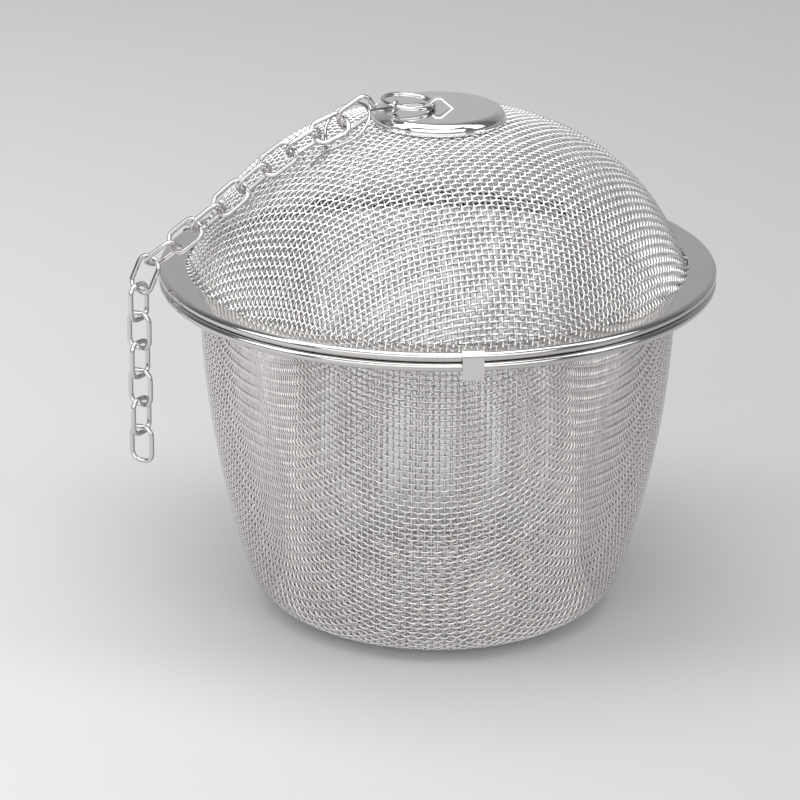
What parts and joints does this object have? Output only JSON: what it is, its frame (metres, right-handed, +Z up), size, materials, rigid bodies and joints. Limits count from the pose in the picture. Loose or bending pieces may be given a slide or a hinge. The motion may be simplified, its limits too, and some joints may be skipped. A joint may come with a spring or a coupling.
{
  "type": "tea infuser",
  "caption": "Round stainless wire-cloth tea infuser: tapered basket with flat bottom, lift-off dome lid with rim clips, polished cap, split ring, wire hook and link chain.",
  "frame": {"origin": "centre of the basket's flat bottom, on the table", "axes": "+Z up, along the basket's axis; the camera of the picture is on the -Y side, so the chain hangs on the -X side"},
  "size_m": [0.0945, 0.0904, 0.0877],
  "materials": {
    "cloth": "plain square weave of drawn stainless wire",
    "satin": "satin folded stainless sheet",
    "polished": "mirror polished stainless",
    "wire": "bright drawn stainless wire"
  },
  "bodies": {
    "basket": {"basket_mesh": "cloth", "basket_rim": "satin"},
    "lid": {"lid_mesh": "cloth", "lid_rim": "satin", "cap_disc": "polished", "cap_backing": "satin", "ring_lug": "polished"},
    "split_ring": {"split_ring": "polished"},
    "drip_hook": {"drip_hook": "wire"},
    "chain_link_01": {"chain_link_01": "wire"},
    "chain_link_02": {"chain_link_02": "wire"},
    "chain_link_03": {"chain_link_03": "wire"},
    "chain_link_04": {"chain_link_04": "wire"},
    "chain_link_05": {"chain_link_05": "wire"},
    "chain_link_06": {"chain_link_06": "wire"},
    "chain_link_07": {"chain_link_07": "wire"},
    "chain_link_08": {"chain_link_08": "wire"},
    "chain_link_09": {"chain_link_09": "wire"},
    "chain_link_10": {"chain_link_10": "wire"},
    "chain_link_11": {"chain_link_11": "wire"},
    "chain_link_12": {"chain_link_12": "wire"},
    "chain_link_13": {"chain_link_13": "wire"},
    "chain_link_14": {"chain_link_14": "wire"},
    "chain_link_15": {"chain_link_15": "wire"},
    "chain_link_16": {"chain_link_16": "wire"},
    "clip_front": {"clip_front": "satin"},
    "clip_left": {"clip_left": "satin"},
    "clip_right": {"clip_right": "satin"}
  },
  "joints": [
    {"name": "lid_lift", "type": "slide", "parent": "basket", "child": "lid", "axis": [0, 0, 1], "range_m": [0, 0.1]},
    {"name": "ring_swing", "type": "hinge", "parent": "lid", "child": "split_ring", "pos_m": [-0.00072, 0, 0.08417], "axis": [0, 1, 0], "range_deg": [0, 80]},
    {"name": "hook_swing", "type": "hinge", "parent": "split_ring", "child": "drip_hook", "pos_m": [-0.00683, -0.00355, 0.08483], "axis": [-0.861, 0.5, 0.0929], "range_deg": [0, 55]},
    {"name": "chain_01", "type": "hinge", "parent": "drip_hook", "child": "chain_link_01", "pos_m": [-0.01145, -0.00659, 0.08571], "axis": [-0.5161, 0.8368, 0.1828], "range_deg": [0, 6]},
    {"name": "chain_02", "type": "hinge", "parent": "chain_link_01", "child": "chain_link_02", "pos_m": [-0.01533, -0.00769, 0.08319], "axis": [0.4458, 0.3327, -0.831], "range_deg": [0, 5]},
    {"name": "chain_03", "type": "hinge", "parent": "chain_link_02", "child": "chain_link_03", "pos_m": [-0.0195, -0.00949, 0.08157], "axis": [-0.4997, 0.5687, 0.6533], "range_deg": [0, 14]},
    {"name": "chain_04", "type": "hinge", "parent": "chain_link_03", "child": "chain_link_04", "pos_m": [-0.02354, -0.01094, 0.07939], "axis": [0.1166, 0.7123, -0.6921], "range_deg": [0, 14]},
    {"name": "chain_05", "type": "hinge", "parent": "chain_link_04", "child": "chain_link_05", "pos_m": [-0.02741, -0.01198, 0.07671], "axis": [-0.5706, 0.5496, 0.6102], "range_deg": [0, 14]},
    {"name": "chain_06", "type": "hinge", "parent": "chain_link_05", "child": "chain_link_06", "pos_m": [-0.03104, -0.01255, 0.07359], "axis": [0.3442, 0.7657, -0.5433], "range_deg": [0, 14]},
    {"name": "chain_07", "type": "hinge", "parent": "chain_link_06", "child": "chain_link_07", "pos_m": [-0.03465, -0.01277, 0.0704], "axis": [-0.5706, 0.5516, 0.6085], "range_deg": [0, 14]},
    {"name": "chain_08", "type": "hinge", "parent": "chain_link_07", "child": "chain_link_08", "pos_m": [-0.0383, -0.01266, 0.06725], "axis": [0.4291, 0.7712, -0.4702], "range_deg": [0, 14]},
    {"name": "chain_09", "type": "hinge", "parent": "chain_link_08", "child": "chain_link_09", "pos_m": [-0.04195, -0.01225, 0.06414], "axis": [-0.5046, 0.5499, 0.6655], "range_deg": [0, 14]},
    {"name": "chain_10", "type": "hinge", "parent": "chain_link_09", "child": "chain_link_10", "pos_m": [-0.04559, -0.01155, 0.06106], "axis": [0.4959, 0.7637, -0.4134], "range_deg": [0, 14]},
    {"name": "chain_11", "type": "hinge", "parent": "chain_link_10", "child": "chain_link_11", "pos_m": [-0.04741, -0.01182, 0.0566], "axis": [-0.8039, 0.5156, 0.2965], "range_deg": [0, 30]},
    {"name": "chain_12", "type": "hinge", "parent": "chain_link_11", "child": "chain_link_12", "pos_m": [-0.04741, -0.01182, 0.05178], "axis": [0.5908, 0.8068, 0], "range_deg": [0, 30]},
    {"name": "chain_13", "type": "hinge", "parent": "chain_link_12", "child": "chain_link_13", "pos_m": [-0.04741, -0.01182, 0.04696], "axis": [-0.8642, 0.5032, 0], "range_deg": [0, 30]},
    {"name": "chain_14", "type": "hinge", "parent": "chain_link_13", "child": "chain_link_14", "pos_m": [-0.04741, -0.01182, 0.04214], "axis": [0.5908, 0.8068, 0], "range_deg": [0, 30]},
    {"name": "chain_15", "type": "hinge", "parent": "chain_link_14", "child": "chain_link_15", "pos_m": [-0.04741, -0.01182, 0.03732], "axis": [-0.8642, 0.5032, 0], "range_deg": [0, 30]},
    {"name": "chain_16", "type": "hinge", "parent": "chain_link_15", "child": "chain_link_16", "pos_m": [-0.04741, -0.01182, 0.0325], "axis": [0.5908, 0.8068, 0], "range_deg": [0, 30]},
    {"name": "clip_front_spring", "type": "hinge", "parent": "lid", "child": "clip_front", "pos_m": [0.00525, -0.04273, 0.05818], "axis": [-0.9925, -0.1219, 0], "range_deg": [0, 8], "stiffness_Nm_per_rad": 0.02},
    {"name": "clip_left_spring", "type": "hinge", "parent": "lid", "child": "clip_left", "pos_m": [-0.03963, 0.01682, 0.05818], "axis": [0.3907, 0.9205, 0], "range_deg": [0, 8], "stiffness_Nm_per_rad": 0.02},
    {"name": "clip_right_spring", "type": "hinge", "parent": "lid", "child": "clip_right", "pos_m": [0.03438, 0.02591, 0.05818], "axis": [0.6018, -0.7986, 0], "range_deg": [0, 8], "stiffness_Nm_per_rad": 0.02}
  ]
}
